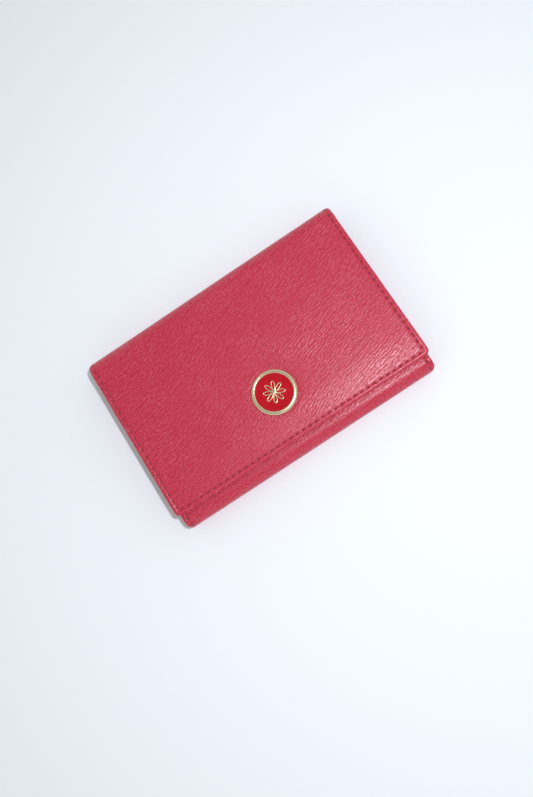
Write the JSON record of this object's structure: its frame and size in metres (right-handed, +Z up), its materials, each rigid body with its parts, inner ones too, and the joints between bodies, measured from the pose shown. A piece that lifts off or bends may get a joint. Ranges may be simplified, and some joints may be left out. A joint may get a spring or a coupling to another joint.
{
  "type": "card holder",
  "caption": "Flat gusseted leather card holder with a slip pocket, a fold-over flap and a press stud under a round enamelled badge.",
  "frame": {"origin": "middle of the footprint of the closed card holder, on the surface that its back lies on", "axes": "+X along the spine fold, to the right when the badge is up and the spine is away; +Y towards the spine fold; +Z up through the badge"},
  "size_m": [0.108, 0.073, 0.0127],
  "materials": {
    "leather": "fine-grained calf, semi-gloss",
    "lining": "smooth, matt",
    "board": "raw",
    "thread": "waxed sewing thread",
    "gilt": "polished gold tone",
    "enamel": "hard gloss enamel",
    "spring_steel": "drawn wire"
  },
  "bodies": {
    "back": {"back_leather": "leather", "back_board": "board", "back_lining": "lining", "slip_pocket": "lining", "bottom_roll_rear_leather": "leather", "bottom_roll_rear_lining": "lining", "spine_root_leather": "leather", "spine_root_lining": "lining", "back_left_thread": "thread", "back_right_thread": "thread", "left_gusset_rear_leaf": "lining", "right_gusset_rear_leaf": "lining"},
    "spine": {"spine_leather": "leather", "spine_lining": "lining"},
    "flap": {"flap_leather": "leather", "flap_board": "board", "flap_lining": "lining", "flap_thread": "thread", "flap_root_leather": "leather", "flap_root_lining": "lining", "badge_bezel": "gilt", "badge_enamel": "enamel", "badge_rosette": "gilt", "snap_cap_rivet": "gilt", "snap_socket": "gilt", "socket_spring_left": "spring_steel", "socket_spring_right": "spring_steel"},
    "front": {"front_leather": "leather", "front_board": "board", "front_lining": "lining", "bottom_roll_front_leather": "leather", "bottom_roll_front_lining": "lining", "front_left_thread": "thread", "front_right_thread": "thread", "left_gusset_front_leaf": "lining", "right_gusset_front_leaf": "lining", "snap_stud": "gilt", "stud_rivet": "gilt"}
  },
  "joints": [
    {"name": "spine_fold", "type": "hinge", "parent": "back", "child": "spine", "pos_m": [0, 0.03552, 0.00098], "axis": [-1, 0, 0], "range_deg": [0, 89]},
    {"name": "flap_fold", "type": "hinge", "parent": "spine", "child": "flap", "pos_m": [0, 0.03552, 0.01042], "axis": [-1, 0, 0], "range_deg": [0, 89]},
    {"name": "front_swing", "type": "hinge", "parent": "back", "child": "front", "pos_m": [0, -0.0365, 0.0043], "axis": [1, 0, 0], "range_deg": [0, 6]}
  ],
  "couplings": [
    {"joint": "flap_fold", "follows": "spine_fold", "ratio": 1},
    {"joint": "front_swing", "follows": "spine_fold", "ratio": 0.0674}
  ]
}
